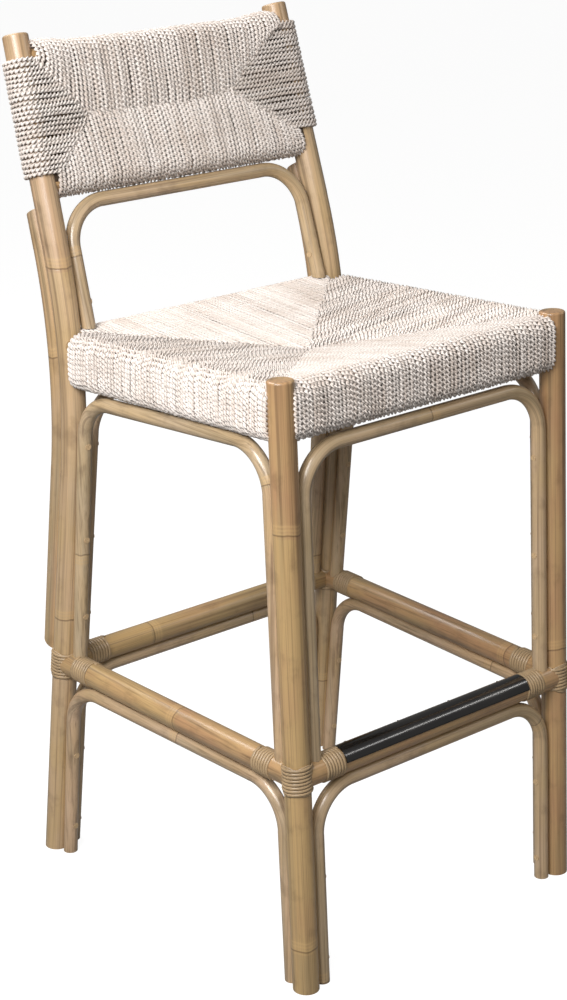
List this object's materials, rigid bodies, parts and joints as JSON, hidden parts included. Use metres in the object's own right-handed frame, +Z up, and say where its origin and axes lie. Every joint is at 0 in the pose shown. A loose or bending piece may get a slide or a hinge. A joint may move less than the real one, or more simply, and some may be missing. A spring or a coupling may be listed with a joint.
{
  "type": "bar stool",
  "caption": "Tall stool of bent round cane poles with a raked woven backrest, a dished woven seat, stretchers on all sides and a footrest with a half-round metal guard.",
  "frame": {"origin": "on the floor, under the middle of the stool's bounding box", "axes": "+Z up, -Y towards the footrest side where the sitter's knees go, +Y towards the backrest, +X to the right seen from the front with +Y away"},
  "size_m": [0.514, 0.5899, 1.0988],
  "materials": {
    "pole": "satin",
    "thin_pole": "satin",
    "frame_rail": "matte",
    "binding": "satin",
    "cord": "matte",
    "guard": "polished",
    "screw": "satin",
    "plug": "matte",
    "dowel": "matte"
  },
  "bodies": {
    "root": {"front_left_leg": "pole", "front_right_leg": "pole", "back_left_post": "pole", "back_right_post": "pole", "back_left_splint": "thin_pole", "back_right_splint": "thin_pole", "seat_front_upper_rail": "frame_rail", "seat_front_lower_rail": "frame_rail", "seat_back_upper_rail": "frame_rail", "seat_back_lower_rail": "frame_rail", "seat_left_upper_rail": "frame_rail", "seat_left_lower_rail": "frame_rail", "seat_right_upper_rail": "frame_rail", "seat_right_lower_rail": "frame_rail", "backrest_top_rail": "frame_rail", "backrest_bottom_rail": "frame_rail", "left_stretcher": "pole", "right_stretcher": "pole", "back_stretcher": "pole", "footrest_rail": "pole", "footrest_guard": "guard", "front_upper_arch": "thin_pole", "back_upper_arch": "thin_pole", "left_upper_arch": "thin_pole", "right_upper_arch": "thin_pole", "front_lower_arch": "thin_pole", "back_lower_arch": "thin_pole", "left_lower_arch": "thin_pole", "right_lower_arch": "thin_pole", "backrest_arch": "thin_pole", "front_left_binding": "binding", "front_right_binding": "binding", "back_left_binding": "binding", "back_right_binding": "binding", "seat_front_weave": "cord", "seat_back_weave": "cord", "seat_left_weave": "cord", "seat_right_weave": "cord", "backrest_weave": "cord", "seat_dowels": "dowel", "stretcher_dowels": "dowel", "backrest_dowels": "dowel", "arch_screws": "screw", "arch_plugs": "plug", "splint_screws": "screw", "splint_plugs": "plug", "guard_screws": "screw"}
  },
  "joints": []
}
